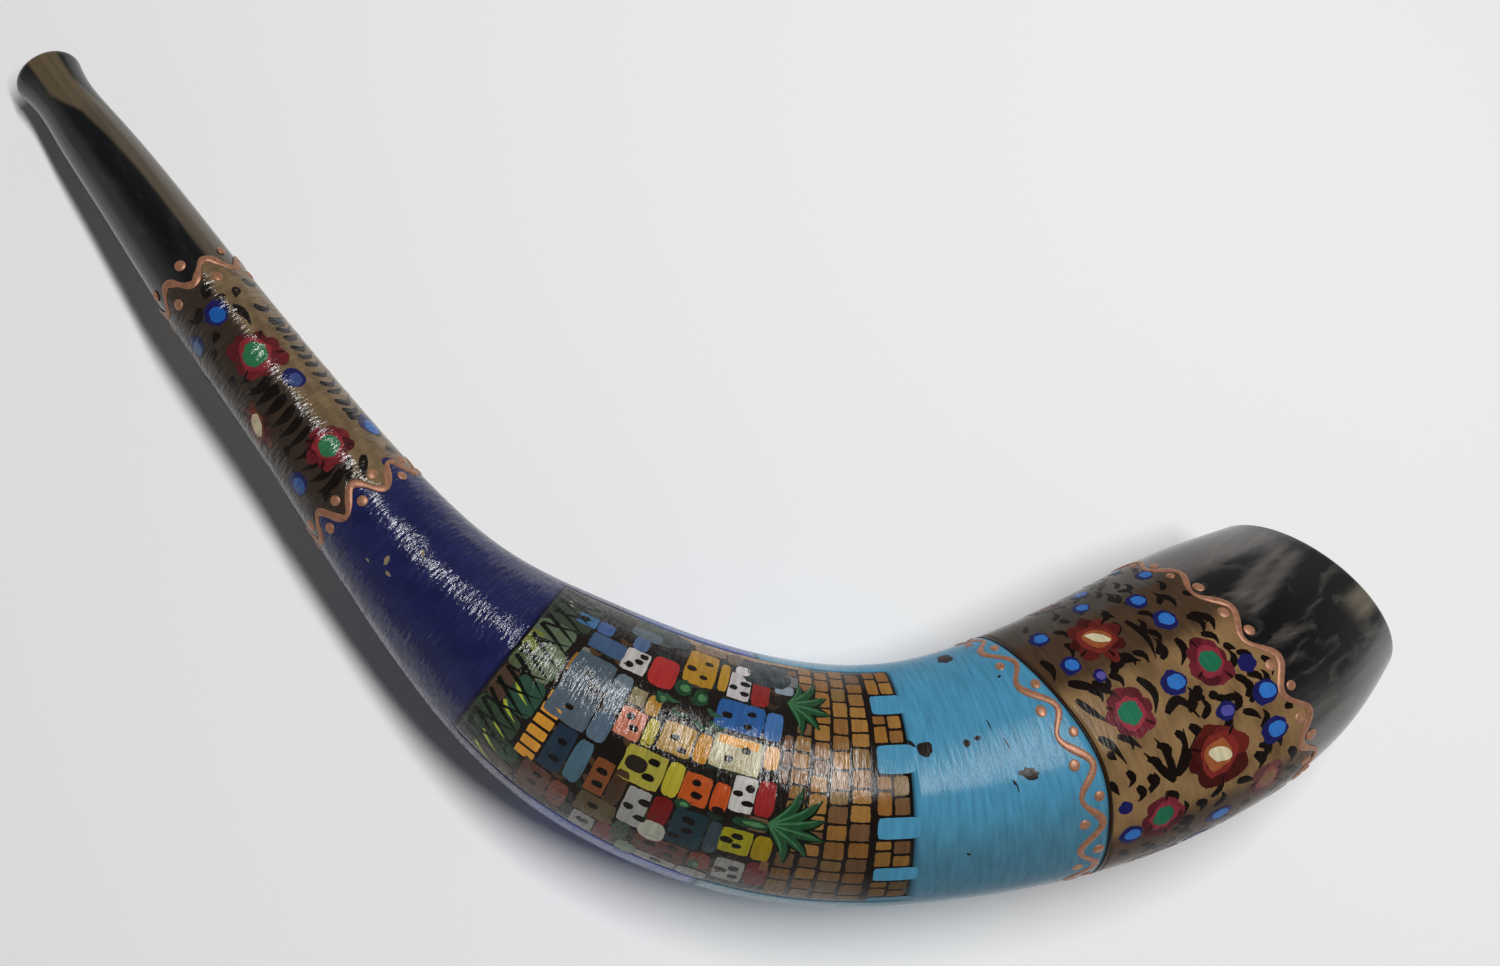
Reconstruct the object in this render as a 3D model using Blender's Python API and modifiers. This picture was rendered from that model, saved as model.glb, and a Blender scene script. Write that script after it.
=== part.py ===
"""A painted shofar: one natural ram's horn, bored from the blowing end to the bell, under its coats of paint.

The horn lies on its side on Z = 0, tip to the left. A place on its skin is given by two numbers: the distance
along the horn from the blowing end in millimetres, and the angle round it in degrees, 0 on top and positive
towards the outside of the bend.
"""

import bmesh
import bpy
import numpy as np
from mathutils import Vector

MM = 0.001

# The horn at each station: distance along it, centre x, y, z, width across the bend, depth through it (mm).
STATIONS = np.array((
    (0, -177, 106, 8, 18, 18),
    (8, -172.5, 99.5, 10, 15.5, 15.5),
    (20, -165.5, 89.5, 12.5, 16.5, 16.5),
    (40, -154, 73.5, 16, 19, 18.5),
    (80, -131.5, 41, 22.5, 22.5, 21.5),
    (120, -107.5, 9, 25, 25.5, 24),
    (150, -89.5, -14.5, 25, 30, 28),
    (180, -69.5, -37.5, 24.5, 38, 35),
    (210, -46.5, -56.5, 24.5, 50, 45.5),
    (240, -20.5, -71, 25.5, 56.5, 50.5),
    (275, 14, -81, 27, 59, 52.5),
    (310, 48.5, -81, 28.5, 60, 52.5),
    (345, 82, -73.5, 30, 65.5, 56.5),
    (380, 115, -60.5, 31, 69, 58.5),
    (410, 140.5, -46, 28.5, 66.5, 55.5),
    (433, 160, -33.5, 25, 55.5, 46),
), dtype=float)
LENGTH = STATIONS[-1, 0]
PLACE = np.array((1.5, 0.7, 0.05))  # puts the origin under the middle of the horn's box
RIM_SLANT = 14.0                    # the bell is sawn off this far out of square (degrees)
SLANT_FROM = 0.8                    # share of the length at which the sections start to slant towards the rim

# The hollow: distance along the horn and width of the hollow (mm).
HOLLOW = np.array((
    (140, 6), (175, 18), (210, 33), (250, 43), (300, 49), (350, 55.5), (395, 60), (433, 49),
), dtype=float)
THROAT = 5.5                        # the bore drilled through the solid tip
CUP_MOUTH = 11.5                    # the cup that the lips close over
CUP_DEPTH = 10.0
LIP_ROUND = 2.0
RIM_ROUND = 1.0

SEGMENTS = 40                       # facets round the horn, 9 degrees each
RING_STEP = 8.0                     # spacing of its rings

# Paint: each coat stands clear of what is under it, because neighbouring solids may not touch.
CLEAR = 0.15
COAT = 0.15
SEAM = 0.3                          # left between neighbouring coats
DARK_BLUE_FROM = 146.0
PANEL_FROM = 199.0
PANEL_TO = 299.5
PANEL_INNER = -63.0                 # the panel's edges round the horn (degrees)
PANEL_OUTER = 72.0
BACK_SEAM = 258.0                   # where dark blue meets light blue behind the panel
TIP_BAND_FROM = 78.0
BELL_BAND_TO = 392.5

# The slanting edge between the light blue and the bell band: angle round the horn, distance along it.
BELL_EDGE = np.array((
    (-180, 338), (-120, 335), (-75, 335), (-45, 338), (-20, 342), (10, 346), (45, 345), (90, 343), (140, 340),
    (180, 338),
), dtype=float)

# Copper lines laid on in relief: name, middle, swing, waves round the horn, phase (degrees).
LINE_WIDTH = 1.7
LINE_HEIGHT = 0.5
COPPER_LINES = (
    ("1", 78.0, 2.2, 6, 18.0),
    ("2", 146.3, 2.6, 8, -134.0),
    ("3", -4.2, 2.4, 13, -40.0),    # measured from the slanting edge
    ("4", 393.5, 2.2, 13, 38.0),
)
SAMPLES_PER_WAVE = 8


def natural_spline(at, values, where):
    """Values at the places where, on the smooth curve through values given at the places at."""
    at = np.asarray(at, dtype=float)
    values = np.asarray(values, dtype=float).reshape(len(at), -1)
    where = np.atleast_1d(np.asarray(where, dtype=float))
    gap = np.diff(at)
    rows = np.eye(len(at))
    right = np.zeros_like(values)
    slope = np.diff(values, axis=0) / gap[:, None]
    for i in range(1, len(at) - 1):
        rows[i, i - 1:i + 2] = gap[i - 1], 2 * (gap[i - 1] + gap[i]), gap[i]
        right[i] = 6 * (slope[i] - slope[i - 1])
    bend = np.linalg.solve(rows, right)
    i = np.clip(np.searchsorted(at, where) - 1, 0, len(at) - 2)
    h = gap[i][:, None]
    t = where[:, None] - at[i][:, None]
    start = slope[i] - h * (2 * bend[i] + bend[i + 1]) / 6
    return values[i] + t * start + t**2 * bend[i] / 2 + t**3 * (bend[i + 1] - bend[i]) / (6 * h)


def unit(vectors):
    return vectors / np.linalg.norm(vectors, axis=-1, keepdims=True)


def section(along):
    """Centre, forward, outward and upward directions, half width and half depth at each distance along."""
    data = natural_spline(STATIONS[:, 0], STATIONS[:, 1:], along)
    step = 0.5
    ahead = natural_spline(STATIONS[:, 0], STATIONS[:, 1:4], along + step)
    behind = natural_spline(STATIONS[:, 0], STATIONS[:, 1:4], along - step)
    forward = unit(ahead - behind)
    outward = unit(np.cross(forward, (0.0, 0.0, 1.0)))
    upward = np.cross(outward, forward)
    return data[:, :3], forward, outward, upward, data[:, 3:4] / 2, data[:, 4:5] / 2


def skin_raw(along, around, share):
    """Points on the horn's section, at share of the way from its centre to its skin."""
    centre, forward, outward, upward, half_width, half_depth = section(along)
    turn = np.radians(around)[:, None]
    ramp = np.clip((along / LENGTH - SLANT_FROM) / (1 - SLANT_FROM), 0, 1)
    slant = (np.tan(np.radians(RIM_SLANT)) * ramp**2 * (3 - 2 * ramp))[:, None]
    spoke = half_width * np.sin(turn) * (outward + slant * forward) + half_depth * np.cos(turn) * upward
    return centre + share * spoke + PLACE


def skin(along, around, height=0.0, inset=0.0):
    """Points at a height above the horn's skin, or drawn in towards its centre line by inset (mm)."""
    along = np.atleast_1d(np.asarray(along, dtype=float))
    around = np.atleast_1d(np.asarray(around, dtype=float))
    along, around = np.broadcast_arrays(along, around)
    half_width = section(along)[4]
    share = 1 - inset / half_width
    points = skin_raw(along, around, share)
    if height:
        step = 0.2
        down_horn = skin_raw(along + step, around, 1.0) - skin_raw(along - step, around, 1.0)
        round_horn = skin_raw(along, around + step, 1.0) - skin_raw(along, around - step, 1.0)
        points = points + height * unit(np.cross(round_horn, down_horn))
    return points * MM


def turns(start, end):
    """Angles from start to end on the horn's own facets."""
    pitch = 360.0 / SEGMENTS
    inside = np.arange(np.ceil(start / pitch + 0.01), np.floor(end / pitch - 0.01) + 1) * pitch
    return np.concatenate(([start], inside, [end]))


def lengths(start, end):
    """Distances along the horn from start to end, about a ring apart."""
    count = max(1, int(round(abs(end - start) / RING_STEP)))
    return np.linspace(start, end, count + 1)


def ring_of_edges(bm, points):
    """A closed loop of edges through the points."""
    ring = [bm.verts.new(p) for p in points]
    return [bm.edges.new((ring[i], ring[(i + 1) % len(ring)])) for i in range(len(ring))]


def loop_vertices(edges):
    """The vertices of a chain or loop of edges, in order."""
    order = [edges[0].verts[0], edges[0].verts[1]]
    if len(edges) > 1 and order[1] not in edges[1].verts:
        order.reverse()
    for edge in edges[1:]:
        order.append(edge.other_vert(order[-1]))
    return order[:-1] if order[0] is order[-1] else order


def extrude_to(bm, edges, points):
    """Extrude a chain of edges and put the new vertices on the points."""
    verts = loop_vertices(edges)
    made = bmesh.ops.extrude_edge_only(bm, edges=edges)
    new_verts = {v for v in made["geom"] if isinstance(v, bmesh.types.BMVert)}
    partner = {v: next(e.other_vert(v) for e in v.link_edges if e.other_vert(v) in new_verts) for v in verts}
    for vert, point in zip(verts, points):
        partner[vert].co = point
    row = [partner[v] for v in verts]
    pairs = list(zip(row, row[1:]))
    if len(edges) == len(row):
        pairs.append((row[-1], row[0]))
    return [bm.edges.get(pair) for pair in pairs]


def bridge(bm, first, last):
    bmesh.ops.bridge_loops(bm, edges=first + last)


def finish_mesh(bm, name, material, parts):
    bmesh.ops.recalc_face_normals(bm, faces=bm.faces)
    mesh = bpy.data.meshes.new(name)
    bm.to_mesh(mesh)
    bm.free()
    obj = bpy.data.objects.new(name, mesh)
    obj.data.materials.append(material)
    parts.objects.link(obj)
    return obj


def paint(name, color, roughness, metallic=0.0):
    material = bpy.data.materials.new(name)
    material.use_nodes = True
    shader = material.node_tree.nodes["Principled BSDF"]
    shader.inputs["Base Color"].default_value = (*color, 1.0)
    shader.inputs["Roughness"].default_value = roughness
    shader.inputs["Metallic"].default_value = metallic
    return material


def hollow_width(along):
    """Width of the cup, the drilled throat and the natural hollow at a distance along the horn."""
    cup = THROAT + (CUP_MOUTH - THROAT) * max(0.0, 1 - along / CUP_DEPTH) ** 1.5
    if along <= HOLLOW[0, 0]:
        return cup
    return float(natural_spline(HOLLOW[:, 0], HOLLOW[:, 1], along)[0, 0])


def make_horn(parts, material):
    """The horn itself: skin, flat blowing face, cup, throat, hollow and flat sawn rim, as one body."""
    around = np.arange(SEGMENTS) * 360.0 / SEGMENTS
    quarter = np.radians((0, 30, 60, 90))
    rings = []
    for angle in quarter:
        rings.append((LIP_ROUND * (1 - np.cos(angle)), LIP_ROUND * (1 - np.sin(angle))))
    for along in lengths(LIP_ROUND, LENGTH - RIM_ROUND)[1:]:
        rings.append((along, 0.0))
    for angle in quarter[1:]:
        rings.append((LENGTH - RIM_ROUND * (1 - np.sin(angle)), RIM_ROUND * (1 - np.cos(angle))))
    inner_places = np.concatenate((
        (LENGTH, LENGTH - 0.7), lengths(LENGTH - RING_STEP, HOLLOW[0, 0]),
        lengths(HOLLOW[0, 0], CUP_DEPTH)[2:-1:2], (CUP_DEPTH, 7.0, 4.5, 2.5, 1.0, 0.3, 0.0),
    ))
    edge_round = {LENGTH: 0.6, 0.0: 0.5, 0.3: 0.15}
    for along in inner_places:
        half_width = section(np.array([along]))[4][0, 0]
        rings.append((along, half_width - hollow_width(along) / 2 - edge_round.get(float(along), 0.0)))
    bm = bmesh.new()
    first = ring_of_edges(bm, skin(rings[0][0], around, inset=rings[0][1]))
    last = first
    for along, inset in rings[1:]:
        last = extrude_to(bm, last, skin(along, around, inset=inset))
    bridge(bm, first, last)
    return finish_mesh(bm, "horn", material, parts)


def make_coat(parts, name, material, legs):
    """A coat of paint: a sheet run along the horn leg by leg, each leg narrower than the last, then thickened."""
    bm = bmesh.new()
    places, start, end = legs[0]
    whole = end - start >= 360.0
    around = turns(start, end)[:-1] if whole else turns(start, end)
    first_row = skin(places(around, 0.0), around, height=CLEAR)
    if whole:
        edges = ring_of_edges(bm, first_row)
    else:
        verts = [bm.verts.new(p) for p in first_row]
        edges = [bm.edges.new(pair) for pair in zip(verts, verts[1:])]
    for places, start, end in legs:
        if end - start < 360.0 and len(edges) == len(around) and whole:
            keep = [i for i, a in enumerate(around) if start - 0.1 <= a <= end + 0.1]
            edges = [edges[i] for i in keep[:-1]]
            around = around[keep]
        middle = np.array([0.0])
        count = len(lengths(places(middle, 0.0)[0], places(middle, 1.0)[0])) - 1
        for step in range(1, count + 1):
            points = skin(places(around, step / count), around, height=CLEAR)
            edges = extrude_to(bm, edges, points)
    coat = finish_mesh(bm, name, material, parts)
    face = coat.data.polygons[0]
    if face.normal.dot(face.center - Vector(first_row.mean(axis=0))) < 0:
        coat.data.flip_normals()
    thick = coat.modifiers.new("Solidify", "SOLIDIFY")
    thick.thickness = COAT * MM
    thick.offset = 1.0
    thick.use_even_offset = True
    return coat


def between(start, end):
    """Places of a leg that runs between two edges, each a number or a function of the angle."""
    def places(around, share):
        low = start(around) if callable(start) else np.full(len(around), float(start))
        high = end(around) if callable(end) else np.full(len(around), float(end))
        return low + (high - low) * share
    return places


def bell_edge(around):
    folded = (np.asarray(around) + 180.0) % 360.0 - 180.0
    return natural_spline(BELL_EDGE[:, 0], BELL_EDGE[:, 1], folded)[:, 0]


def line_place(line, around):
    """Distance along the horn of a copper line at the given angles."""
    _, middle, swing, waves, phase = line
    base = bell_edge(around) + middle if middle < 0 else middle
    return base + swing * np.sin(np.radians(waves * around + phase))


def make_line(parts, line, material):
    """A wavy bead of copper relief paint all the way round, low and round-backed."""
    count = line[3] * SAMPLES_PER_WAVE
    around = np.arange(count) * 360.0 / count
    step = 0.5
    base = CLEAR + COAT + CLEAR
    half = LINE_WIDTH / 2
    profile = ((-half, 0.0), (-0.6 * half, 0.75), (0.0, 1.0), (0.6 * half, 0.75), (half, 0.0))
    along = line_place(line, around)
    radius = np.sqrt(section(along)[4] * section(along)[5])[:, 0]
    slope = (line_place(line, around + step) - line_place(line, around - step)) / (
        np.radians(2 * step) * radius)
    lean = 1 / np.sqrt(1 + slope**2)
    tracks = []
    for aside, rise in profile:
        along_here = along + aside * lean
        around_here = around - np.degrees(aside * slope * lean / radius)
        tracks.append(skin(along_here, around_here, height=base + rise * LINE_HEIGHT))
    bm = bmesh.new()
    first = ring_of_edges(bm, [track[0] for track in tracks])
    last = first
    for i in range(1, count):
        last = extrude_to(bm, last, [track[i] for track in tracks])
    bridge(bm, first, last)
    return finish_mesh(bm, "copper_line_" + line[0], material, parts)


for old in list(bpy.data.objects):
    bpy.data.objects.remove(old)
shofar = bpy.data.collections.new("shofar")
bpy.context.scene.collection.children.link(shofar)

keratin = paint("horn", (0.045, 0.036, 0.03), 0.25)
floral = paint("floral_paint", (0.2, 0.14, 0.07), 0.3)
dark_blue = paint("dark_blue_paint", (0.022, 0.02, 0.12), 0.3)
city = paint("city_paint", (0.3, 0.19, 0.06), 0.3)
light_blue = paint("light_blue_paint", (0.07, 0.28, 0.45), 0.3)
copper = paint("copper_paint", (0.45, 0.2, 0.1), 0.35, 0.6)

half_seam = SEAM / 2
back = (PANEL_OUTER, PANEL_INNER + 360.0)
all_round = (0.0, 360.0)
make_horn(shofar, keratin)
make_coat(shofar, "tip_floral_coat", floral,
          [(between(TIP_BAND_FROM, DARK_BLUE_FROM - SEAM), *all_round)])
make_coat(shofar, "dark_blue_coat", dark_blue,
          [(between(DARK_BLUE_FROM, PANEL_FROM - half_seam), *all_round),
           (between(PANEL_FROM - half_seam, BACK_SEAM - half_seam), *back)])
make_coat(shofar, "city_panel_coat", city,
          [(between(PANEL_FROM + half_seam, PANEL_TO - half_seam), PANEL_INNER + 0.7, PANEL_OUTER - 0.7)])
make_coat(shofar, "light_blue_coat", light_blue,
          [(between(lambda around: bell_edge(around) - half_seam, PANEL_TO + half_seam), *all_round),
           (between(PANEL_TO + half_seam, BACK_SEAM + half_seam), *back)])
make_coat(shofar, "bell_floral_coat", floral,
          [(between(lambda around: bell_edge(around) + half_seam, BELL_BAND_TO), *all_round)])
for copper_line in COPPER_LINES:
    make_line(shofar, copper_line, copper)
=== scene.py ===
import math
import random

import bmesh
import bpy
import numpy as np
from mathutils import Euler, Matrix, Vector


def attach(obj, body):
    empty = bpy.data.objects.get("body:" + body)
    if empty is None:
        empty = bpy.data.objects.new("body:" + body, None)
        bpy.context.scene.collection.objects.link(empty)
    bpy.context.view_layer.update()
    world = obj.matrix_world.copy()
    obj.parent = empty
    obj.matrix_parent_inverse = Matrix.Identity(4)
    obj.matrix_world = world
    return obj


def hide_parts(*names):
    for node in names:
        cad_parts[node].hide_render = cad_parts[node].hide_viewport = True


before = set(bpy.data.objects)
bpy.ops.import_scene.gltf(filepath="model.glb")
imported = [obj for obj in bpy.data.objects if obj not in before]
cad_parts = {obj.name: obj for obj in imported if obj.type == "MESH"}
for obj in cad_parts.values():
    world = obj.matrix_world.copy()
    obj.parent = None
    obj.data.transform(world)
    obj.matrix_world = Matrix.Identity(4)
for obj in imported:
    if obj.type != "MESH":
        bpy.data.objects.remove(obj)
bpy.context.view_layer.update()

# ---- Camera ----
# Held above the horn and a little to one side, so that the bell turns its painted back to it.
camera_data = bpy.data.cameras.new("camera")
camera_data.lens = 40.44
camera_data.sensor_width = 36.0
camera = bpy.data.objects.new("camera", camera_data)
camera.location = (-0.0807, -0.1060, 0.4427)
camera.rotation_euler = Euler([math.radians(turn) for turn in (13.78, -11.60, -1.41)])
bpy.context.scene.collection.objects.link(camera)
bpy.context.scene.camera = camera
bpy.context.scene.view_settings.view_transform = "Standard"


# ---- Table and studio light ----
# A plain pale table, one long soft lamp overhead, and light from the white walls of the room round it.
def linear(hex_colour):
    """An sRGB hex colour as linear red, green, blue and 1."""
    parts = [int(hex_colour[i:i + 2], 16) / 255 for i in (1, 3, 5)]
    return (*[c / 12.92 if c <= 0.04045 else ((c + 0.055) / 1.055) ** 2.4 for c in parts], 1.0)


def feed(material, node, socket, value):
    """Sets a node's input to a value, or links it to an output socket or to another node's first output."""
    if isinstance(value, bpy.types.Node):
        value = value.outputs[0]
    if isinstance(value, bpy.types.NodeSocket):
        material.node_tree.links.new(value, node.inputs[socket])
    else:
        node.inputs[socket].default_value = value


def add_node(material, kind, inputs=None, **settings):
    """Adds a shader node with its inputs fed and its other settings made."""
    made = material.node_tree.nodes.new("ShaderNode" + kind)
    for name, value in settings.items():
        setattr(made, name, value)
    for socket, value in (inputs or {}).items():
        feed(material, made, socket, value)
    return made


def new_material(name):
    """A material with one Principled shader, and that shader."""
    material = bpy.data.materials.new(name)
    material.use_nodes = True
    return material, material.node_tree.nodes["Principled BSDF"]


table_bmesh = bmesh.new()
bmesh.ops.create_grid(table_bmesh, x_segments=1, y_segments=1, size=1.5)
table_mesh = bpy.data.meshes.new("table")
table_bmesh.to_mesh(table_mesh)
table_bmesh.free()
table = bpy.data.objects.new("table", table_mesh)
bpy.context.scene.collection.objects.link(table)

# Matt white laminate, sprayed and even, which keeps shadows soft and pale.
laminate, laminate_shader = new_material("laminate_matt_white")
laminate_shader.inputs["Base Color"].default_value = linear("#FDFDFD")
laminate_shader.inputs["Roughness"].default_value = 0.9
laminate_shader.inputs["Specular IOR Level"].default_value = 0.1
table_mesh.materials.append(laminate)

KEY_ENDS = Vector((0.34, -0.32, 1.2)), Vector((0.02, 0.50, 1.2))
KEY_WIDTH = 0.07
KEY_WATTS = 12.0
key_data = bpy.data.lights.new("key_light", "AREA")
key_data.shape = "RECTANGLE"
key_data.size = (KEY_ENDS[1] - KEY_ENDS[0]).length
key_data.size_y = KEY_WIDTH
key_data.energy = KEY_WATTS
key_light = bpy.data.objects.new("key_light", key_data)
key_light.location = (KEY_ENDS[0] + KEY_ENDS[1]) / 2
key_run = KEY_ENDS[1] - KEY_ENDS[0]
key_light.rotation_euler = (0.0, 0.0, math.atan2(key_run.y, key_run.x))
bpy.context.scene.collection.objects.link(key_light)

WALL_GLOW = 5.0
CEILING_GLOW = 0.5
world = bpy.data.worlds.new("white_room")
world.use_nodes = True
bpy.context.scene.world = world
world_place = add_node(world, "TexCoord")
world_axes = add_node(world, "SeparateXYZ", {"Vector": world_place})
glow = add_node(world, "MapRange", {"Value": world_axes.outputs["Z"], "From Min": 0.0, "From Max": 0.9,
                                    "To Min": WALL_GLOW, "To Max": CEILING_GLOW},
                interpolation_type="SMOOTHSTEP")
feed(world, world.node_tree.nodes["Background"], "Strength", glow)

# ---- The horn ----
# One natural ram's horn, bored from the tip into its own hollow, its rim sawn and its outside scraped and
# polished. A place on its skin is a distance along it from the blowing end (mm) and an angle round it
# (degrees, 0 on top, positive towards the outside of the bend). Every coat of paint is laid on that skin.
MM = 0.001
STATIONS = np.array((
    (0, -177, 106, 8, 18, 18),
    (8, -172.5, 99.5, 10, 15.5, 15.5),
    (20, -165.5, 89.5, 12.5, 16.5, 16.5),
    (40, -154, 73.5, 16, 19, 18.5),
    (80, -131.5, 41, 22.5, 22.5, 21.5),
    (120, -107.5, 9, 25, 25.5, 24),
    (150, -89.5, -14.5, 25, 30, 28),
    (180, -69.5, -37.5, 24.5, 38, 35),
    (210, -46.5, -56.5, 24.5, 50, 45.5),
    (240, -20.5, -71, 25.5, 56.5, 50.5),
    (275, 14, -81, 27, 59, 52.5),
    (310, 48.5, -81, 28.5, 60, 52.5),
    (345, 82, -73.5, 30, 65.5, 56.5),
    (380, 115, -60.5, 31, 69, 58.5),
    (410, 140.5, -46, 28.5, 66.5, 55.5),
    (433, 160, -33.5, 25, 55.5, 46),
), dtype=float)  # distance along, centre x, y, z, width across the bend, depth through it (mm)
LENGTH = STATIONS[-1, 0]
PLACE = np.array((1.5, 0.7, 0.05))
RIM_SLANT = 14.0
SLANT_FROM = 0.8
HOLLOW = np.array((
    (140, 6), (175, 18), (210, 33), (250, 43), (300, 49), (350, 55.5), (395, 60), (433, 49),
), dtype=float)  # distance along, width of the hollow (mm)
THROAT = 5.5
CUP_MOUTH = 11.5
CUP_DEPTH = 10.0
LIP_ROUND = 2.0
RIM_ROUND = 1.0


def natural_spline(at, values, where):
    """Values at the places where, on the smooth curve through values given at the places at."""
    values = np.asarray(values, dtype=float).reshape(len(at), -1)
    where = np.atleast_1d(np.asarray(where, dtype=float))
    gap = np.diff(at)
    rows = np.eye(len(at))
    right = np.zeros_like(values)
    slope = np.diff(values, axis=0) / gap[:, None]
    for i in range(1, len(at) - 1):
        rows[i, i - 1:i + 2] = gap[i - 1], 2 * (gap[i - 1] + gap[i]), gap[i]
        right[i] = 6 * (slope[i] - slope[i - 1])
    bend = np.linalg.solve(rows, right)
    i = np.clip(np.searchsorted(at, where) - 1, 0, len(at) - 2)
    h = gap[i][:, None]
    t = where[:, None] - at[i][:, None]
    start = slope[i] - h * (2 * bend[i] + bend[i + 1]) / 6
    return values[i] + t * start + t**2 * bend[i] / 2 + t**3 * (bend[i + 1] - bend[i]) / (6 * h)


def unit(vectors):
    return vectors / np.linalg.norm(vectors, axis=-1, keepdims=True)


def section(along):
    """Centre, forward, outward and upward directions, half width and half depth at each distance along."""
    data = natural_spline(STATIONS[:, 0], STATIONS[:, 1:], along)
    step = 0.5
    ahead = natural_spline(STATIONS[:, 0], STATIONS[:, 1:4], along + step)
    behind = natural_spline(STATIONS[:, 0], STATIONS[:, 1:4], along - step)
    forward = unit(ahead - behind)
    outward = unit(np.cross(forward, (0.0, 0.0, 1.0)))
    upward = np.cross(outward, forward)
    return data[:, :3], forward, outward, upward, data[:, 3:4] / 2, data[:, 4:5] / 2


def skin_raw(along, around, share):
    """Points on the horn's section, at share of the way from its centre to its skin."""
    centre, forward, outward, upward, half_width, half_depth = section(along)
    turn = np.radians(around)[:, None]
    ramp = np.clip((along / LENGTH - SLANT_FROM) / (1 - SLANT_FROM), 0, 1)
    slant = (np.tan(np.radians(RIM_SLANT)) * ramp**2 * (3 - 2 * ramp))[:, None]
    spoke = half_width * np.sin(turn) * (outward + slant * forward) + half_depth * np.cos(turn) * upward
    return centre + share * spoke + PLACE


def skin(along, around, height, inset=0.0):
    """Points at a height above the horn's skin, or drawn in towards its centre line by inset (mm)."""
    share = 1 - np.reshape(inset, (-1, 1)) / section(along)[4]
    points = skin_raw(along, around, share)
    step = 0.2
    down_horn = skin_raw(along + step, around, 1.0) - skin_raw(along - step, around, 1.0)
    round_horn = skin_raw(along, around + step, 1.0) - skin_raw(along, around - step, 1.0)
    return (points + np.reshape(height, (-1, 1)) * unit(np.cross(round_horn, down_horn))) * MM


def radius(along):
    """The horn's mean radius at a distance along it (mm)."""
    _, _, _, _, half_width, half_depth = section(np.atleast_1d(np.asarray(along, dtype=float)))
    return np.sqrt(half_width * half_depth)[:, 0]


def zone(values, low, high, soft):
    """1 between low and high, easing to 0 over a distance soft beyond each."""
    rise = np.clip((values - low) / soft + 1, 0, 1)
    fall = np.clip((high - values) / soft + 1, 0, 1)
    return rise**2 * (3 - 2 * rise) * fall**2 * (3 - 2 * fall)


def mix(colours, hex_colour, share):
    """Colours with a share of another laid over them."""
    return colours * (1 - share[:, None]) + np.array(linear(hex_colour)) * share[:, None]


def blend(first, second, share):
    """Colours from the first to the second as share goes from 0 to 1."""
    return mix(np.tile(linear(first), (len(share), 1)), second, share)


def blotches(along, around, size):
    """0 to 1 in soft uneven patches about size mm across."""
    x, y = along / size, around / size * 0.5
    waves = np.sin(2.1 * x + 1.7 * np.sin(1.3 * y)) * np.sin(2.6 * y + 1.9 * np.sin(0.9 * x + 1.0))
    return np.clip(0.5 + 0.5 * waves + 0.2 * np.sin(5.3 * x + 4.1 * y), 0, 1)


def colour_faces(bm, faces, colour):
    """Gives faces of a flat drawing their paint colour: a hex value, or a function of the place."""
    paint = bm.loops.layers.float_color.get("paint") or bm.loops.layers.float_color.new("paint")
    loops = [loop for face in faces for loop in face.loops]
    if callable(colour):
        places = np.array([loop.vert.co[:2] for loop in loops])
        for loop, value in zip(loops, colour(places[:, 0], places[:, 1])):
            loop[paint] = value
    else:
        value = linear(colour)
        for loop in loops:
            loop[paint] = value


def wrap_on_horn(bm, inset=None):
    """Bends a flat drawing (along, round, height) round the horn and keeps its places as a UV map. Bending
    mirrors the drawing, so its faces are turned over to point outwards again."""
    flat = np.array([vert.co[:] for vert in bm.verts])
    round_mm = np.radians(flat[:, 1]) * radius(flat[:, 0])
    place_map = bm.loops.layers.uv.new("along_and_round")
    bm.verts.index_update()
    for face in bm.faces:
        for loop in face.loops:
            i = loop.vert.index
            loop[place_map].uv = (flat[i, 0] / 100, round_mm[i] / 100)
    points = skin(flat[:, 0], flat[:, 1], flat[:, 2], 0.0 if inset is None else inset)
    for vert, point in zip(bm.verts, points):
        vert.co = point
    bmesh.ops.reverse_faces(bm, faces=bm.faces)


def make_piece(bm, name, material, stands_for=()):
    """Makes the mesh an object that rides on the horn, in place of its simple model where it has one."""
    mesh = bpy.data.meshes.new(name)
    bm.to_mesh(mesh)
    bm.free()
    mesh.shade_smooth()
    mesh.set_sharp_from_angle(angle=math.radians(40))
    piece = bpy.data.objects.new(name, mesh)
    piece.data.materials.append(material)
    bpy.context.scene.collection.objects.link(piece)
    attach(piece, "root")
    if stands_for:
        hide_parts(*stands_for)
    return piece


def hollow_width(along):
    """Width of the cup, the drilled throat and the natural hollow at a distance along the horn."""
    cup = THROAT + (CUP_MOUTH - THROAT) * max(0.0, 1 - along / CUP_DEPTH) ** 1.5
    if along <= HOLLOW[0, 0]:
        return cup
    return float(natural_spline(HOLLOW[:, 0], HOLLOW[:, 1], along)[0, 0])


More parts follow.
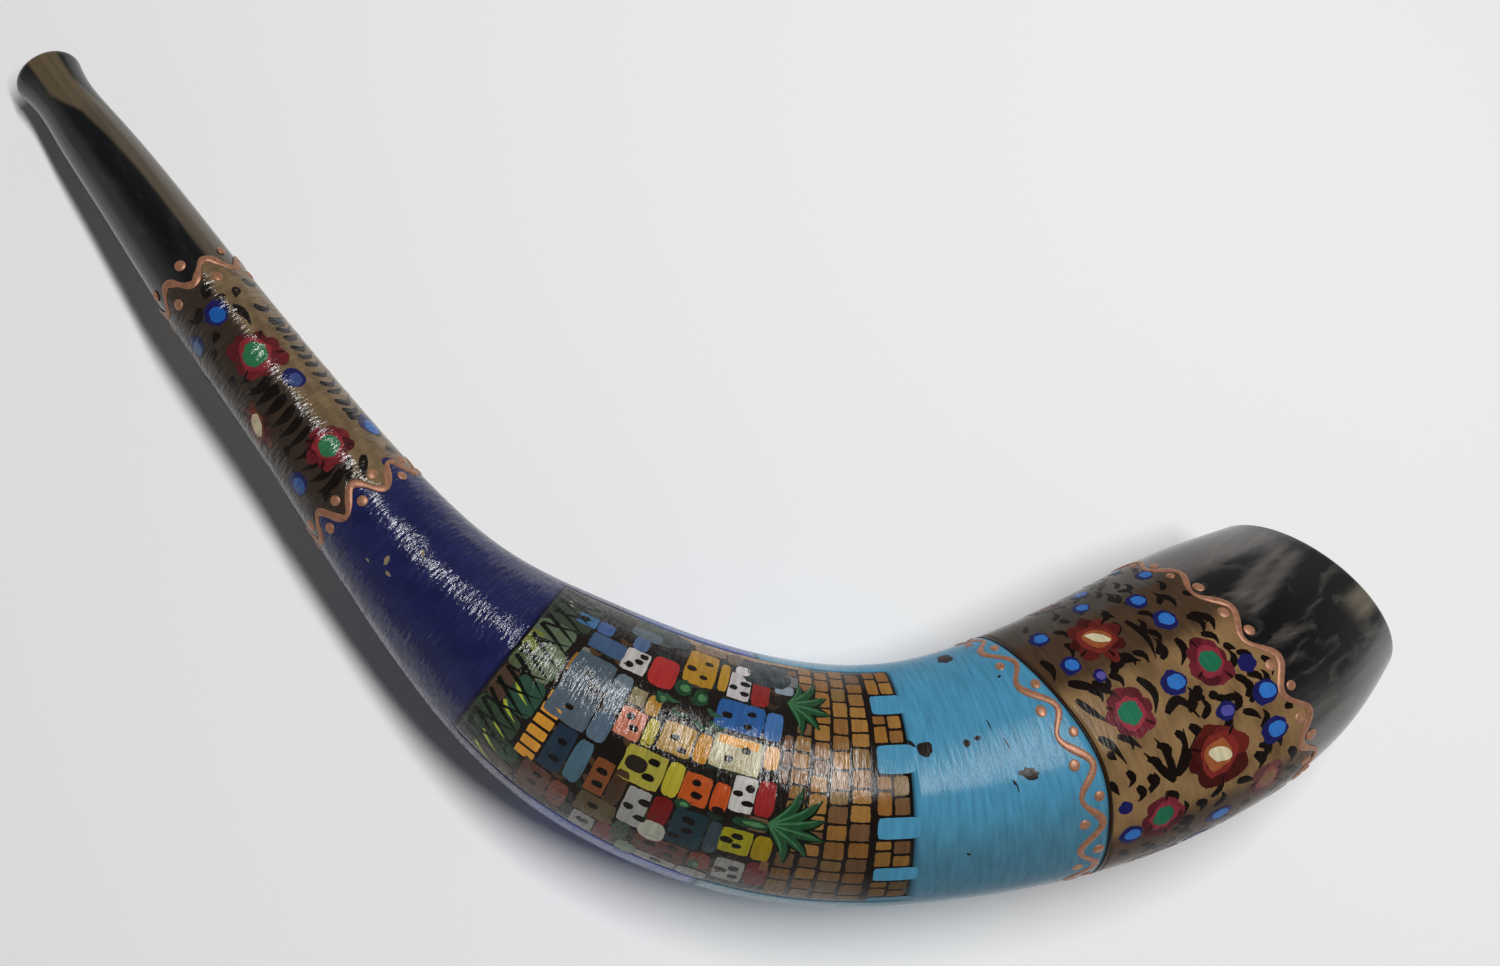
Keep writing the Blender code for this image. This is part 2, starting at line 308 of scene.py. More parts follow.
def horn_profile():
    """Rows of distance along and inset (mm): over the lip, along the outside to the rim, back up inside."""
    quarter = np.radians(np.arange(0, 91, 15))
    outside = [(LIP_ROUND * (1 - math.cos(angle)), LIP_ROUND * (1 - math.sin(angle))) for angle in quarter]
    outside += [(along, 0.0) for along in (*np.arange(3.0, 40, 1.0), *np.arange(40.0, LENGTH - 2, 2.0))]
    outside += [(LENGTH - RIM_ROUND * (1 - math.sin(angle)), RIM_ROUND * (1 - math.cos(angle)))
                for angle in quarter]
    places = [LENGTH, LENGTH - 0.2, LENGTH - 0.7, *np.arange(LENGTH - 4, 140, -4), 140.0]
    places += [*np.arange(132, CUP_DEPTH + 2, -8), CUP_DEPTH, 8.0, 6.0, 4.5, 3.0, 2.0, 1.0, 0.3, 0.1, 0.0]
    eased = {LENGTH: 0.6, LENGTH - 0.2: 0.2, 0.3: 0.1, 0.1: 0.3, 0.0: 0.5}
    inside = []
    for along in places:
        half_width = float(section(np.array([along]))[4][0, 0])
        inside.append((along, half_width - hollow_width(along) / 2 - eased.get(along, 0.0)))
    return np.array(outside + inside + outside[:1]), len(outside)


def horn_colour(along, around):
    """The horn's colours: black, an olive streak from the tip and grey bars at the bell, with grey along the
    outer side and the inner edge by the bell as painted reflection of the pale room, and a painted highlight
    at the rim.
    """
    folded = (around + 180.0) % 360.0 - 180.0
    colour = np.tile(linear("#101113"), (len(along), 1))
    # Grey along the outer side of the bend: painted reflection of the pale room.
    colour = mix(colour, "#454443", 0.45 * zone(folded, 34, 400, 22) * zone(along, 8, 400, 10))
    streak_from = np.interp(along, (0, 10, 20, 40, 78), (-28, -31, -46, -64, -80))
    streak_to = np.interp(along, (0, 12, 17, 21, 30, 45, 78), (18, 21, 4, -10, -18, -24, -28))
    streak = zone(folded - streak_from, 0, 400, 7) * zone(streak_to - folded, 0, 400, 7)
    colour = mix(colour, "#62543F", streak * zone(along, -90, 24, 8))
    colour = mix(colour, "#564C3D", streak * zone(along, 24, 110, 8))
    bell = zone(along, 385, 440, 5)
    # Grey along the inner edge near the bell: painted reflection of the pale room.
    colour = mix(colour, "#585350", 0.8 * bell * zone(folded, -100, -46, 4) * zone(along, 380, 428, 6))
    for from_along, from_around, drop in ((402, -26, 0.45), (405, -20, 0.42)):
        middle = from_around - drop * (along - from_along)
        bar = zone(folded - middle, -1.2, 1.2, 4) * zone(along, from_along, 424, 8)
        colour = mix(colour, "#5F5A56", 0.75 * bar)
    # A pale patch at the rim: painted highlight.
    colour = mix(colour, "#6F6758", 0.8 * zone(folded, 8, 15, 8) * zone(along, 428, 440, 8))
    # Grey on the outer side near the bell: painted reflection of the pale room.
    return mix(colour, "#5C5A57", 0.7 * bell * zone(folded, 38, 400, 12))


def hollow_colour(along, around):
    """Raw horn, tan near the bell and darker the deeper it lies: painted shade in the hollow."""
    return blend("#2A231C", "#8C7B60", zone(along, 330, 500, 60))


HORN_TURNS = 144
WELD = 0.005 * MM
profile, outer_rows = horn_profile()
horn_bmesh = bmesh.new()
bmesh.ops.create_grid(horn_bmesh, x_segments=len(profile) - 1, y_segments=HORN_TURNS, size=0.5)
row = [round((vert.co.x + 0.5) * (len(profile) - 1)) for vert in horn_bmesh.verts]
horn_bmesh.verts.index_update()
for vert, number in zip(horn_bmesh.verts, row):
    vert.co = (profile[number, 0], vert.co.y * 360.0, 0.0)
inner = [face for face in horn_bmesh.faces if max(row[vert.index] for vert in face.verts) > outer_rows]
colour_faces(horn_bmesh, horn_bmesh.faces[:], horn_colour)
colour_faces(horn_bmesh, inner, hollow_colour)
wrap_on_horn(horn_bmesh, inset=profile[row, 1])
bmesh.ops.remove_doubles(horn_bmesh, verts=horn_bmesh.verts, dist=2 * WELD)
bmesh.ops.recalc_face_normals(horn_bmesh, faces=horn_bmesh.faces)

# Keratin scraped smooth and varnished: a deep gloss over black horn, clouded along the grain in soft grey
# wisps.
keratin, keratin_shader = new_material("keratin_scraped_and_varnished")
horn_place = add_node(keratin, "UVMap", uv_map="along_and_round")
# Wisps about 11 mm long and 5 mm wide, leaning a little; the map holds tenths of a metre.
wisp_place = add_node(keratin, "Mapping", {"Vector": horn_place, "Rotation": (0.0, 0.0, 0.35),
                                           "Scale": (100 / 11.0, 100 / 5.0, 1.0)})
wisps = add_node(keratin, "TexNoise", {"Vector": wisp_place, "Scale": 1.0, "Detail": 4.0,
                                       "Distortion": 0.6})
wisp_share = add_node(keratin, "MapRange", {"Value": wisps, "From Min": 0.52, "From Max": 0.74,
                                            "To Min": 0.0, "To Max": 0.5})
horn_axes = add_node(keratin, "SeparateXYZ", {"Vector": horn_place})
at_bell = add_node(keratin, "MapRange", {"Value": horn_axes.outputs["X"], "From Min": 2.5, "From Max": 4.0,
                                         "To Min": 0.18, "To Max": 1.0})
wisp_here = add_node(keratin, "Math", {0: wisp_share, 1: at_bell},
                     operation="MULTIPLY")
horn_tint = add_node(keratin, "Attribute", attribute_name="paint")
clouded = add_node(keratin, "Mix", {"Factor": wisp_here, 6: horn_tint,
                                    7: linear("#6E6860")}, data_type="RGBA")
# Scraper marks about 1.6 mm apart and 30 mm long, along the horn.
scrape_place = add_node(keratin, "Mapping", {"Vector": horn_place,
                                             "Scale": (100 / 30.0, 100 / 1.6, 1.0)})
scrapes = add_node(keratin, "TexNoise", {"Vector": scrape_place, "Scale": 1.0, "Detail": 2.0})
# The fibres of the horn show as fine lengthwise lines, lighter and darker.
fibre = add_node(keratin, "MapRange", {"Value": scrapes, "From Min": 0.3, "From Max": 0.7,
                                       "To Min": 0.78, "To Max": 1.18})
grained = add_node(keratin, "VectorMath", {0: clouded.outputs[2], "Scale": fibre},
                   operation="SCALE")
feed(keratin, keratin_shader, "Base Color", grained)
scrape_relief = add_node(keratin, "Bump", {"Height": scrapes, "Strength": 1.0,
                                           "Distance": 0.05 * MM})
feed(keratin, keratin_shader, "Normal", scrape_relief)
keratin_shader.inputs["Roughness"].default_value = 0.2
keratin_shader.inputs["IOR"].default_value = 1.55
horn = make_piece(horn_bmesh, "horn_body", keratin, ["horn"])

# ---- Ground coats ----
# Flat acrylic grounds brushed over the scraped horn: a tan band near the tip, dark blue, a dark town
# panel on the upper side, light blue, and a tan band round the bell. The picture work is laid over them,
# and varnish over all.
GROUND_BOTTOM = 0.05
GROUND_TOP = 0.30
COAT_PITCH = 2.0
COAT_TURN = 2.5
PANEL_FROM = 199.0
PANEL_TO = 299.5
PANEL_INNER = -62.5
PANEL_OUTER = 72.5
BACK_SEAM = 258.0
# The second blue is the light blue with painted shade, for the outer side of the bend.
LIGHT_BLUE = "#4B8EAF"
OUTER_SHADE_BLUE = "#48798F"
BELL_EDGE = np.array((
    (-180, 338), (-120, 335), (-75, 335), (-45, 338), (-20, 342), (10, 346), (45, 345), (90, 343),
    (140, 340), (180, 338),
), dtype=float)  # angle round the horn, distance along it
WAVES = {
    "1": (78.0, 2.2, 6, 18.0),
    "2": (146.3, 2.6, 8, -134.0),
    "3": (-4.2, 2.4, 13, -40.0),
    "4": (393.5, 2.2, 13, 38.0),
}  # copper lines: middle (from the slanting edge if below 0), swing (mm), waves round, phase (degrees)


def bell_edge(around):
    """Distance along at which the light blue stops and the bell band starts, which slants round the horn."""
    folded = (np.asarray(around) + 180.0) % 360.0 - 180.0
    return natural_spline(BELL_EDGE[:, 0], BELL_EDGE[:, 1], folded)[:, 0]


def wave(line):
    """The function of the angle round that gives a copper line's distance along."""
    middle, swing, count, phase = WAVES[line]

    def place(around):
        base = bell_edge(around) + middle if middle < 0 else middle
        return base + swing * np.sin(np.radians(count * np.asarray(around) + phase))
    return place


def lay_coat(bm, along_from, along_to, around_from, around_to, colour, top=GROUND_TOP):
    """Adds a coat, drawn flat, between two edges that are numbers or functions of the angle round."""
    starts = along_from if callable(along_from) else lambda around: np.full(len(around), float(along_from))
    ends = along_to if callable(along_to) else lambda around: np.full(len(around), float(along_to))
    middle = np.array([(around_from + around_to) / 2])
    rows = max(2, round(float(ends(middle)[0] - starts(middle)[0]) / COAT_PITCH))
    columns = max(2, round((around_to - around_from) / COAT_TURN))
    made = bmesh.ops.create_grid(bm, x_segments=rows, y_segments=columns, size=0.5)["verts"]
    share = np.array([vert.co.x + 0.5 for vert in made])
    around = np.array([around_from + (vert.co.y + 0.5) * (around_to - around_from) for vert in made])
    along = starts(around) + (ends(around) - starts(around)) * share
    for vert, x, y in zip(made, along, around):
        vert.co = (x, y, top)
    colour_faces(bm, list({face for vert in made for face in vert.link_faces}), colour)


def finish_coat(bm, name, stands_for=()):
    """Bends the coat round the horn, joins its edges where they meet and gives it its thickness, inwards."""
    bmesh.ops.remove_doubles(bm, verts=bm.verts, dist=0.001)
    wrap_on_horn(bm)
    bmesh.ops.remove_doubles(bm, verts=bm.verts, dist=WELD)
    coat = make_piece(bm, name, acrylic, stands_for)
    body = coat.modifiers.new("body", "SOLIDIFY")
    body.thickness = (GROUND_TOP - GROUND_BOTTOM) * MM
    body.offset = -1.0


def brushed_acrylic(name, variation):
    """Acrylic brushed on by hand and varnished: clear gloss over flat colour, with fine grooves round the
    horn that split each highlight into streaks. Its colour is the piece's own, a little uneven, with
    painted shade on the upright sides of its marks."""
    material, shader = new_material(name)
    place = add_node(material, "UVMap", uv_map="along_and_round")
    # Brush marks about 1.2 mm apart and 9 mm long; the map holds tenths of a metre.
    bristles = add_node(material, "Mapping", {"Vector": place, "Scale": (100 / 1.2, 100 / 9.0, 1.0)})
    marks = add_node(material, "TexNoise", {"Vector": bristles, "Scale": 1.0, "Detail": 3.0})
    lightness = add_node(material, "MapRange", {"Value": marks, "From Min": 0.3, "From Max": 0.7,
                                                "To Min": 1 - variation, "To Max": 1 + variation})
    # The upright side of a brush mark gets painted shade, dark, and almost no gloss, so its edge looks
    # drawn, not raised.
    shape = add_node(material, "NewGeometry")
    level = add_node(material, "VectorMath", {0: shape.outputs["True Normal"], 1: shape.outputs["Normal"]},
                     operation="DOT_PRODUCT")
    flat_part = add_node(material, "MapRange", {"Value": level.outputs["Value"], "From Min": 0.6,
                                                "From Max": 0.95, "To Min": 0.08, "To Max": 1.0})
    shade = add_node(material, "Math", {0: lightness, 1: flat_part},
                     operation="MULTIPLY")
    colour = add_node(material, "Attribute", attribute_name="paint")
    uneven = add_node(material, "VectorMath", {0: colour, "Scale": shade},
                      operation="SCALE")
    feed(material, shader, "Base Color", uneven)
    # Brush grooves in the varnish about 0.9 mm apart and 4 mm long, with finer ones among them.
    scraping = add_node(material, "Mapping", {"Vector": place, "Scale": (100 / 0.9, 100 / 4.0, 1.0)})
    grooves = add_node(material, "TexNoise", {"Vector": scraping, "Scale": 1.0, "Detail": 3.0})
    swells = add_node(material, "TexNoise", {"Vector": place, "Scale": 100 / 9.0, "Detail": 1.0})
    # The grooves are deepest over the town and towards the tip, and fade out between 260 and 298 mm along.
    axes = add_node(material, "SeparateXYZ", {"Vector": place})
    thick = add_node(material, "MapRange", {"Value": axes.outputs["X"], "From Min": 2.60, "From Max": 2.98,
                                            "To Min": 1.0, "To Max": 0.1}, interpolation_type="SMOOTHSTEP")
    thin = add_node(material, "Math", {0: grooves, 1: thick}, operation="MULTIPLY")
    depth = add_node(material, "Math", {0: thin, 1: swells}, operation="MULTIPLY")
    relief = add_node(material, "Bump", {"Height": depth, "Strength": 1.0,
                                         "Distance": 0.95 * MM})
    feed(material, shader, "Normal", relief)
    # It is thin and satin on the light blue and the bell band.
    gloss = add_node(material, "MapRange", {"Value": axes.outputs["X"], "From Min": 2.78, "From Max": 2.94,
                                            "To Min": 0.5, "To Max": 0.07}, interpolation_type="SMOOTHSTEP")
    sheen = add_node(material, "Math", {0: gloss, 1: flat_part},
                     operation="MULTIPLY")
    feed(material, shader, "Specular IOR Level", sheen)
    shader.inputs["Roughness"].default_value = 0.17
    return material


def tip_band_colour(along, around):
    """Olive tan on the inner side, darker brown towards the outer side of the bend, with dark brown patches.
    """
    outer_dark = zone(around, 2, 170, 14)
    return mix(blend("#806A4C", "#352B23", outer_dark), "#3F3327", 0.5 * blotches(along, around, 6.0))


def dark_blue_colour(along, around):
    """Dark blue, which the maker worked out to a middle blue behind the top of the town."""
    colour = blend("#1D204C", "#3A54A0", zone(along, 224, 400, 8))
    return mix(colour, "#2C3264", 0.35 * blotches(along, around, 9.0))


def light_blue_colour(along, around):
    """Light blue, greyer and darker low on the outer side of the bend, as painted shade."""
    return blend(LIGHT_BLUE, OUTER_SHADE_BLUE, zone(around, 44, 100, 30))


def bell_band_colour(along, around):
    """Tan on the outer side, browner inside the bend, grey along the inner edge as painted reflection of the
    pale room, and stained in patches.
    """
    colour = blend("#4C3A2B", "#8B6E4A", zone(around, -16, 42, 12))
    # Grey along the inner edge: painted reflection of the pale room.
    colour = mix(colour, "#4A4540", zone(around, -400, -58, 8))
    colour = mix(colour, "#66615B", 0.7 * zone(around, -400, -62, 8) * zone(along, 378, 400, 10))
    return mix(colour, "#42301F", 0.55 * blotches(along, around, 7.0) ** 2)


acrylic = brushed_acrylic("acrylic_brushed_and_varnished", 0.16)
back = (PANEL_OUTER, PANEL_INNER + 360.0)
tip_coat = bmesh.new()
lay_coat(tip_coat, wave("1"), wave("2"), -180, 180, tip_band_colour)
finish_coat(tip_coat, "tip_band_ground", ["tip_floral_coat"])
dark_coat = bmesh.new()
lay_coat(dark_coat, wave("2"), PANEL_FROM, -180, 180, dark_blue_colour)
lay_coat(dark_coat, PANEL_FROM, BACK_SEAM, *back, dark_blue_colour)
finish_coat(dark_coat, "dark_blue_ground", ["dark_blue_coat"])
light_coat = bmesh.new()
lay_coat(light_coat, PANEL_TO, bell_edge, -180, 180, light_blue_colour)
lay_coat(light_coat, BACK_SEAM, PANEL_TO, *back, light_blue_colour)
finish_coat(light_coat, "light_blue_ground", ["light_blue_coat"])
town_coat = bmesh.new()
lay_coat(town_coat, PANEL_FROM, PANEL_TO, PANEL_INNER, PANEL_OUTER, "#1C1612")
finish_coat(town_coat, "town_ground", ["city_panel_coat"])
bell_coat = bmesh.new()
lay_coat(bell_coat, bell_edge, wave("4"), -180, 180, bell_band_colour)
finish_coat(bell_coat, "bell_band_ground", ["bell_floral_coat"])

# ---- Copper lines and dots ----
# Metallic copper paint piped on in relief: a wavy bead round the horn at each edge of the floral bands,
# with dots that fill its bends on alternate sides.
BEAD_HALF_WIDTH = 0.85
BEAD_HEIGHT = 0.26
BEAD_PARTS = 36
BEAD_PROFILE = ((-1, 0), (-0.8, 0.6), (-0.35, 0.95), (0.35, 0.95), (0.8, 0.6), (1, 0), (0, -0.4), (-1, 0))
DOT_OFFSET = {"1": 5.8, "2": 4.6, "3": 4.3, "4": 2.9}  # from each crest of the line to its dot (mm)
DOT_RADIUS = 1.4


def degrees_per_mm(along):
    return math.degrees(1 / float(radius(along)[0]))


def pipe_bead(line):
    """One wavy bead, its width a little uneven, as it is squeezed out by hand."""
    bm = bmesh.new()
    columns = WAVES[line][2] * BEAD_PARTS
    bmesh.ops.create_grid(bm, x_segments=len(BEAD_PROFILE) - 1, y_segments=columns, size=0.5)
    colour_faces(bm, bm.faces[:], "#A87458")
    aside = np.array([BEAD_PROFILE[round((vert.co.x + 0.5) * (len(BEAD_PROFILE) - 1))] for vert in bm.verts])
    around = np.array([vert.co.y * 360.0 for vert in bm.verts])
    place, step = wave(line), 0.5
    slope = (place(around + step) - place(around - step)) / np.radians(2 * step) / radius(place(around))
    lean = 1 / np.sqrt(1 + slope**2)
    squeeze = 1 + 0.18 * np.sin(np.radians(around * 11)) + 0.12 * np.sin(np.radians(around * 23 + 40))
    offset = aside[:, 0] * BEAD_HALF_WIDTH * squeeze
    along = place(around) + offset * lean
    turned = around - np.degrees(offset * slope * lean / radius(along))
    for vert, x, y, rise, full in zip(bm.verts, along, turned, aside[:, 1], squeeze):
        vert.co = (x, y, GROUND_TOP + BEAD_HEIGHT * rise * full)
    wrap_on_horn(bm)
    bmesh.ops.remove_doubles(bm, verts=bm.verts, dist=WELD)
    bmesh.ops.recalc_face_normals(bm, faces=bm.faces)
    make_piece(bm, "copper_bead_" + line, copper, ["copper_line_" + line])


def lay_dot(bm, along, around, dot_radius):
    """A low round dot of relief paint."""
    squash = Matrix.Diagonal((dot_radius, dot_radius * degrees_per_mm(along), 0.32, 1.0))
    place = Matrix.Translation((along, around, GROUND_TOP)) @ squash
    dot = bmesh.ops.create_uvsphere(bm, u_segments=14, v_segments=8, radius=1.0, matrix=place)["verts"]
    colour_faces(bm, list({face for vert in dot for face in vert.link_faces}), "#AE7A5C")


# Copper paint: fine metal flake in a clear binder, so it glints softly and shows the binder's gloss.
copper, copper_shader = new_material("copper_relief_paint_piped")
copper_tint = add_node(copper, "Attribute", attribute_name="paint")
copper_place = add_node(copper, "UVMap", uv_map="along_and_round")
flake = add_node(copper, "TexNoise", {"Vector": copper_place, "Scale": 100 / 1.4, "Detail": 4.0})
worn = add_node(copper, "MapRange", {"Value": flake, "From Min": 0.3, "From Max": 0.7,
                                     "To Min": 0.7, "To Max": 1.15})
copper_uneven = add_node(copper, "VectorMath", {0: copper_tint, "Scale": worn},
                         operation="SCALE")
feed(copper, copper_shader, "Base Color", copper_uneven)
flake_relief = add_node(copper, "Bump", {"Height": flake, "Distance": 0.08 * MM})
feed(copper, copper_shader, "Normal", flake_relief)
copper_shader.inputs["Metallic"].default_value = 0.3
copper_shader.inputs["Roughness"].default_value = 0.42

for line in WAVES:
    pipe_bead(line)
dots = bmesh.new()
dice = random.Random(11)
for line, (middle, swing, count, phase) in WAVES.items():
    for half_wave in range(2 * count):
        side = 1 if half_wave % 2 == 0 else -1
        crest = (90.0 + 180.0 * half_wave - phase) / count
        crest = (crest + 180.0) % 360.0 - 180.0 + dice.uniform(-1.5, 1.5)
        dot_along = float(np.ravel(wave(line)(crest))[0]) - side * DOT_OFFSET[line]
        lay_dot(dots, dot_along, crest, DOT_RADIUS * dice.uniform(0.85, 1.1))
wrap_on_horn(dots)
make_piece(dots, "copper_dots", copper)

# ---- The town's hills ----
# Behind the town, towards the tip: green and brown fields crossed by dark slanting furrows, with lighter
# dabs. Each brush mark is a thin skin of paint of its own, laid on the ground coat in the order that it
# was painted.
PAINT_STEP = 0.02
SKIN_LAP = 0.06
MARK_RISE = 0.035
STAGGER = 0.002
STAGGERS = 9
CUT_ALONG = 2.5
CUT_ROUND = 3.5
BLOCK_SPREAD = 0.3
laid = {"marks": 0}
dice = random.Random(5)


def dim(hex_colour, share):
    """The same colour, darker or lighter."""
    return "#" + "".join(f"{min(255, round(int(hex_colour[i:i + 2], 16) * share)):02X}" for i in (1, 3, 5))


def dull_and_shade(hex_colour, around):
    """A colour dulled under the varnish, and darker towards the outer side of the bend as painted shade."""
    return dim(hex_colour, 0.88 - 0.28 * min(1.0, max(0.0, (around - 22.0) / 38.0)))


def paint_top(layer):
    """Height of the next mark of a layer; marks that overlap lie one on another."""
    laid["marks"] += 1
    return GROUND_TOP + MARK_RISE + PAINT_STEP * layer + STAGGER * (laid["marks"] % STAGGERS)


def thicken(bm, faces, top, colour):
    """Gives flat faces the colour and thickness of a brush mark, which reaches into the coat under it."""
    lap = SKIN_LAP - STAGGER * (laid["marks"] % STAGGERS)
    shell = bmesh.ops.solidify(bm, geom=faces, thickness=top - GROUND_TOP + lap)["geom"]
    colour_faces(bm, faces + [part for part in shell if isinstance(part, bmesh.types.BMFace)], colour)


def lay_patch(bm, along, around, long, wide, colour, layer=0, turn=0.0, square=2.0, points=16, wobble=0.05):
    """A patch of paint round a place: long and wide in mm, turned in degrees, an oval at square 2 and nearer
    a block above it."""
    top = paint_top(layer)
    spread = degrees_per_mm(along)
    made = bmesh.ops.create_circle(bm, cap_ends=True, segments=points, radius=1.0)["verts"]
    for vert in made:
        x, y = vert.co.x, vert.co.y
        full = (abs(x)**square + abs(y)**square) ** (-1 / square) * (1 + dice.uniform(-wobble, wobble))
        x, y = x * full * long / 2, y * full * wide / 2
        lean = math.radians(turn)
        vert.co = (along + x * math.cos(lean) - y * math.sin(lean),
                   around + spread * (x * math.sin(lean) + y * math.cos(lean)), top)
    parts = [made[0].link_faces[0], *made, *made[0].link_faces[0].edges]
    for axis, pitch in ((0, CUT_ALONG), (1, CUT_ROUND)):
        low = min(vert.co[axis] for vert in made)
        high = max(vert.co[axis] for vert in made)
        normal = (1 - axis, axis, 0)
        for place in np.arange(math.ceil(low / pitch + 0.1) * pitch, high - 0.1 * pitch, pitch):
            plane = (place * normal[0], place * normal[1], 0)
            parts = bmesh.ops.bisect_plane(bm, geom=parts, plane_co=plane, plane_no=normal)["geom"]
    thicken(bm, [part for part in parts if isinstance(part, bmesh.types.BMFace)], top, colour)


def lay_block(bm, along_from, along_to, around_from, around_to, colour, layer=1, square=14.0, wobble=0.03,
              spread=BLOCK_SPREAD):
    """A soft-cornered block of paint between two distances along and two angles round."""
    middle = (along_from + along_to) / 2
    wide = (around_to - around_from) / degrees_per_mm(middle) + 2 * spread
    long = along_to - along_from + 2 * spread
    lay_patch(bm, middle, (around_from + around_to) / 2, long, wide, colour, layer,
              square=square, points=24, wobble=wobble)


def lay_stroke(bm, path, width, colour, layer=0, tail=0.2):
    """A brush stroke through a few places: fullest near its start and drawn out to a thin tail."""
    top = paint_top(layer)
    path = np.array(path, dtype=float)
    spread = degrees_per_mm(path[:, 0].mean())
    track = path / (1.0, spread)
    length = np.linalg.norm(np.diff(track, axis=0), axis=1).sum()
    steps = max(5, round(length / 1.3))
    made = bmesh.ops.create_grid(bm, x_segments=steps, y_segments=1, size=0.5)["verts"]
    share = np.array([vert.co.x + 0.5 for vert in made])
    side = np.array([2 * vert.co.y for vert in made])
    at = np.linspace(0, 1, len(path))
    middle = natural_spline(at, track, share)
    ahead = unit(natural_spline(at, track, share + 0.02) - natural_spline(at, track, share - 0.02))
    full = np.sin(np.pi * np.clip(0.06 + 0.94 * share, 0, 1) ** 0.75) * (1 - tail) + tail * (1 - share)
    half = width / 2 * np.maximum(full, 0.12)
    for vert, (x, y), (dx, dy), h, s in zip(made, middle, ahead, half, side):
        vert.co = (x - s * h * dy, (y + s * h * dx) * spread, top)
    thicken(bm, list({face for vert in made for face in vert.link_faces}), top, colour)


def finish_picture(bm, name):
    """Bends the marks round the horn. They shade as one skin with it, as thin paint shows no edge."""
    flat = np.array([vert.co[:] for vert in bm.verts])
    outward = unit(skin(flat[:, 0], flat[:, 1], 1.0) - skin(flat[:, 0], flat[:, 1], 0.0))
    wrap_on_horn(bm)
    picture = make_piece(bm, name, acrylic)
    picture.data.normals_split_custom_set_from_vertices(outward.tolist())


HILLS = (
    (199.8, 212, -58, -42, "#3F4A3A"), (199.8, 212, -41, -26, "#4C5A44"), (199.8, 210, -25, -12, "#7E9070"),
    (203.5, 211, -11, 9, "#8FA07A"), (199.8, 203, -14, -2, "#A3AC46"), (199.8, 203, -1, 10, "#6E8058"),
    (199.8, 204, 11, 31, "#6E5541"), (204.5, 211.5, 10, 30, "#46705A"), (199.8, 211, 32, 47, "#4B6446"),
    (199.8, 214, 48, 60, "#3E5A40"), (204, 214, 61, 70, "#5A6A3C"), (212.3, 213.4, -15, -5, "#D79637"),
    (213.2, 215.2, -20, -15.5, "#A5A591"), (203, 204, -49, -41, "#C8C8C0"),
)  # along from and to, around from and to, colour
ORANGE_ROW = range(8, 44, 7)
FURROW = "#10130E"
hills = bmesh.new()
for *place, colour in HILLS:
    lay_block(hills, *place, dim(colour, 0.7), layer=0, square=4.0, wobble=0.05)
for around in ORANGE_ROW:
    lay_block(hills, 212.4, 217.2, around, around + 5.4, "#D79637", layer=0, spread=0.0)
for around in np.arange(-60, 64, 8):
    bend = dice.uniform(1, 4)
    path = ((200.2, around), (206, around + bend + 3), (211.8, around + 11))
    lay_stroke(hills, path, 1.3, FURROW, 2, 0.7)
for around in np.arange(16, 66, 12):
    path = ((204.5, around), (206.5, around + 4), (209.5, around + 7))
    lay_stroke(hills, path, 1.1, "#A9B43C", 1, 0.5)
for around in np.arange(-50, 60, 11):
    path = ((200.5, around + 7), (206, around + 4), (211.5, around))
    lay_stroke(hills, path, 0.9, FURROW, 3, 0.7)
finish_picture(hills, "town_hills")

